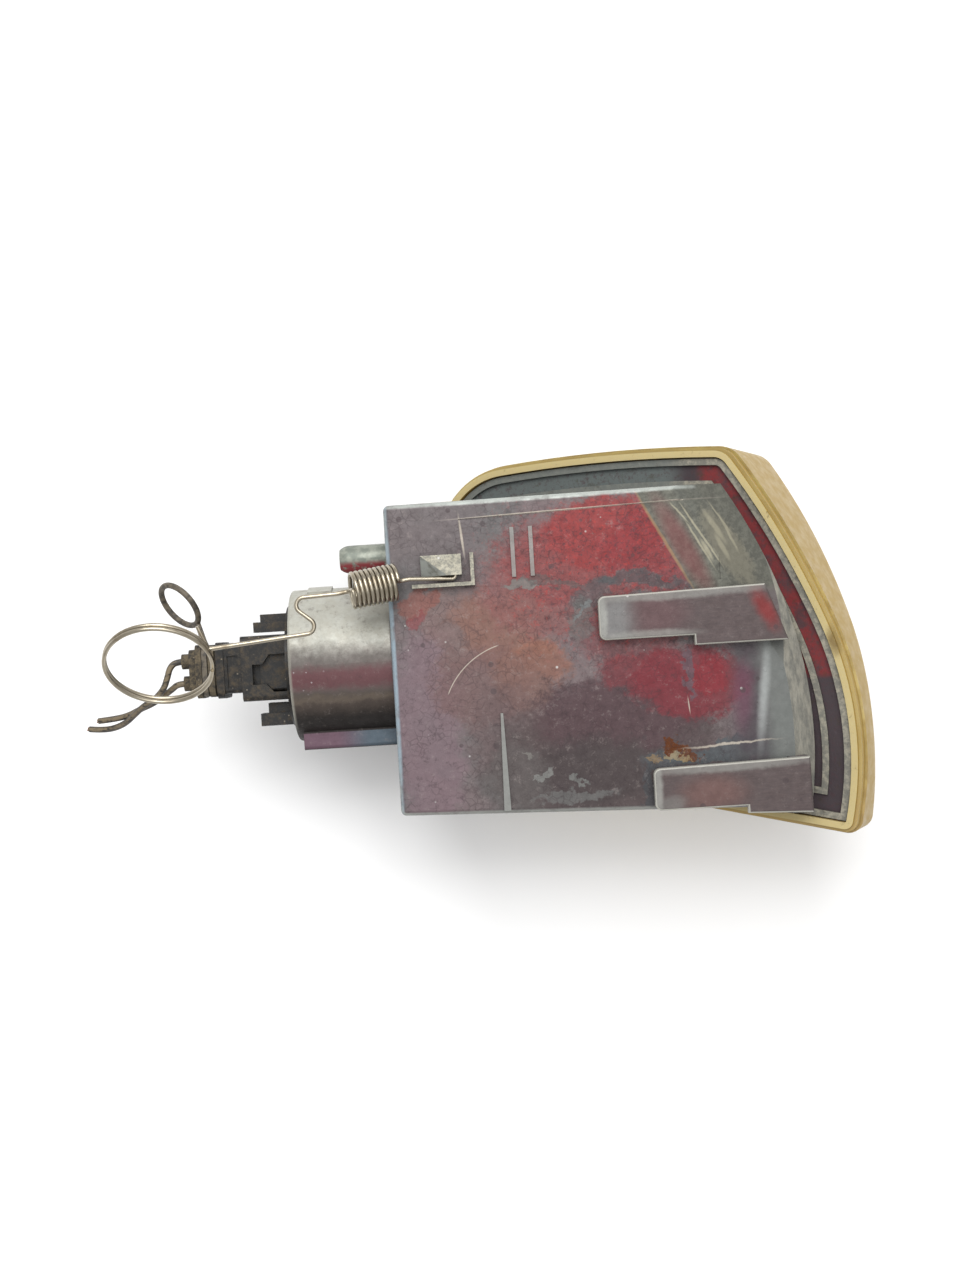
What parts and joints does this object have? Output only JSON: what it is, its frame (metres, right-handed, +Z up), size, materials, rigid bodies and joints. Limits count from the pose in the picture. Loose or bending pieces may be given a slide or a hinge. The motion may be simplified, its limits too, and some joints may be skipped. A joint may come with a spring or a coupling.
{
  "type": "corner turn signal lamp",
  "caption": "Front corner turn signal lamp: flat-backed housing with tongues, wrap-round lens, quarter-turn bulb holder with plug, and a tension spring with a pull ring.",
  "frame": {"origin": "middle of the lamp's box in X and Y, on the surface that the lens rests on; the two leads left out", "axes": "+Z up, out of the flat inboard face; +X towards the vehicle's front end of the lens; -X is the way that the lamp is pushed home, with the tube, plug and pull ring at that end"},
  "size_m": [0.2499, 0.1242, 0.0905],
  "materials": {
    "housing_plastic": "dull metallised plastic, stained red and mauve, light worn edges",
    "lens_plastic": "aged straw-yellow plastic",
    "sealant": "dark brown dirty bead",
    "reflector_metal": "bright vapour-coated",
    "bulb_glass": "clear",
    "bulb_brass": "nickelled brass",
    "tungsten": "dull wire",
    "black_glass": "vitrite black",
    "solder": "soft solder",
    "black_plastic": "black with brown dust",
    "black_rubber": "black rubber",
    "steel": "zinc plated",
    "spring_steel": "warm nickel-plated wire",
    "brass": "tinned brass",
    "tie_wire": "dusty plastic-covered wire",
    "lead_insulation": "dusty grey-brown insulation"
  },
  "bodies": {
    "lamp": {"housing": "housing_plastic", "lens": "lens_plastic", "lens_sealant": "sealant", "reflector": "reflector_metal"},
    "bulb_holder": {"holder_body": "black_plastic", "holder_seal": "black_rubber", "socket_sleeve": "steel", "contact_spring": "spring_steel", "blade_live": "brass", "blade_earth": "brass"},
    "bulb": {"bulb_glass": "bulb_glass", "bulb_cap": "bulb_brass", "bulb_stem": "bulb_glass", "bulb_filament": "tungsten", "bulb_supports": "tungsten", "bulb_insulator": "black_glass", "bulb_contact": "solder"},
    "plunger": {"plunger": "black_plastic"},
    "connector": {"connector_body": "black_plastic", "connector_collar": "black_plastic", "connector_boot": "black_rubber", "tie_loop": "tie_wire", "terminal_live": "brass", "terminal_earth": "brass", "wire_live": "lead_insulation", "wire_earth": "lead_insulation"},
    "tension_spring": {"spring_hook": "spring_steel", "spring_coil": "spring_steel"},
    "pull_ring": {"pull_ring": "spring_steel"}
  },
  "joints": [
    {"name": "holder_twist", "type": "hinge", "parent": "lamp", "child": "bulb_holder", "pos_m": [-0.05857, -0.00114, 0.045], "axis": [-1, 0, 0], "range_deg": [0, 45]},
    {"name": "plug_slide", "type": "slide", "parent": "bulb_holder", "child": "connector", "axis": [-1, 0, 0], "range_m": [0, 0.014]},
    {"name": "bulb_push", "type": "slide", "parent": "bulb_holder", "child": "bulb", "axis": [-1, 0, 0], "range_m": [0, 0.002], "stiffness_N_per_m": 3000, "springref_m": -0.001, "deforming": ["contact_spring"]},
    {"name": "plunger_slide", "type": "slide", "parent": "bulb_holder", "child": "plunger", "axis": [-1, 0, 0], "range_m": [0, 0.002]},
    {"name": "spring_swing", "type": "hinge", "parent": "lamp", "child": "tension_spring", "pos_m": [-0.00997, 0.02485, 0.0746], "axis": [0, 1, 0], "range_deg": [0, 30]},
    {"name": "ring_pull", "type": "slide", "parent": "tension_spring", "child": "pull_ring", "axis": [-0.9711, -0.1434, 0.1908], "range_m": [0, 0.018], "stiffness_N_per_m": 1500, "springref_m": -0.002, "deforming": ["spring_coil"]}
  ],
  "couplings": [
    {"joint": "plunger_slide", "follows": "bulb_push", "ratio": 1}
  ]
}
